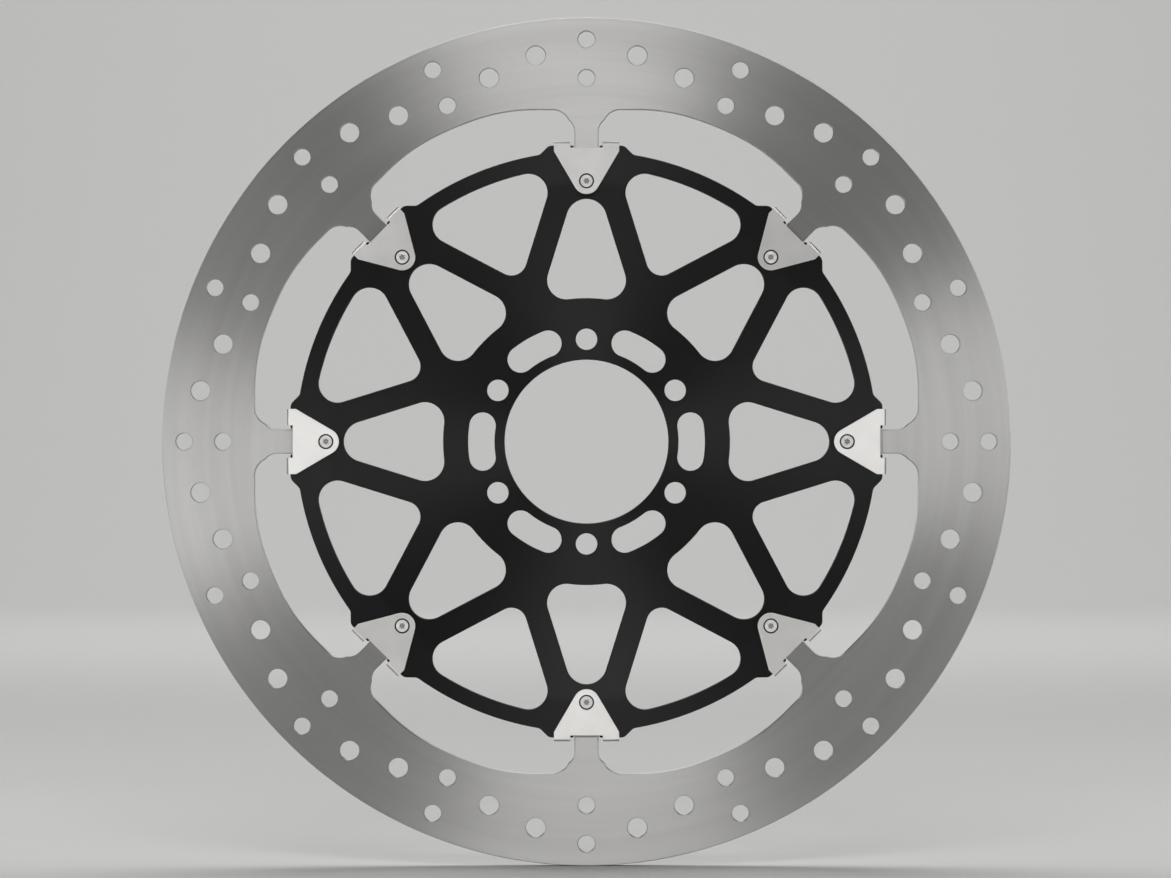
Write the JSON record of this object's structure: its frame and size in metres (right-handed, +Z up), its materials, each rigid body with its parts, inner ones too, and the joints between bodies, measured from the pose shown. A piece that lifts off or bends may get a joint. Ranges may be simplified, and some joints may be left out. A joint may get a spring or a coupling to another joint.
{
  "type": "brake disc rotor",
  "caption": "Floating motorcycle brake disc: drilled steel ring with T-shaped tabs held by spring clips in a black dished carrier with windows and bolt holes.",
  "frame": {"origin": "centre of the hub bore on the rear face of the hub flange, where the wheel hub holds the disc", "axes": "+Y along the spin axis from the front of the disc to the wheel side, +Z up through the first drive tab and a bolt hole, +X to the right seen from the front"},
  "size_m": [0.33, 0.0142, 0.33],
  "materials": {
    "brake_steel": "stainless brake steel, turned in fine concentric lines",
    "black_anodised": "machined aluminium, satin black anodised",
    "spring_steel": "bright stainless spring sheet, finely brushed",
    "screw_steel": "bright stainless steel",
    "nut_steel": "satin zinc plated steel"
  },
  "bodies": {
    "carrier_assembly": {"carrier": "black_anodised", "retaining_clip_1": "spring_steel", "retaining_clip_2": "spring_steel", "retaining_clip_3": "spring_steel", "retaining_clip_4": "spring_steel", "retaining_clip_5": "spring_steel", "retaining_clip_6": "spring_steel", "retaining_clip_7": "spring_steel", "retaining_clip_8": "spring_steel", "clip_screw_1": "screw_steel", "clip_screw_2": "screw_steel", "clip_screw_3": "screw_steel", "clip_screw_4": "screw_steel", "clip_screw_5": "screw_steel", "clip_screw_6": "screw_steel", "clip_screw_7": "screw_steel", "clip_screw_8": "screw_steel", "lock_nut_1": "nut_steel", "lock_nut_2": "nut_steel", "lock_nut_3": "nut_steel", "lock_nut_4": "nut_steel", "lock_nut_5": "nut_steel", "lock_nut_6": "nut_steel", "lock_nut_7": "nut_steel", "lock_nut_8": "nut_steel"},
    "ring": {"brake_ring": "brake_steel"}
  },
  "joints": [
    {"name": "ring_float", "type": "slide", "parent": "carrier_assembly", "child": "ring", "axis": [0, 1, 0], "range_m": [-0.00025, 0.00025]}
  ]
}
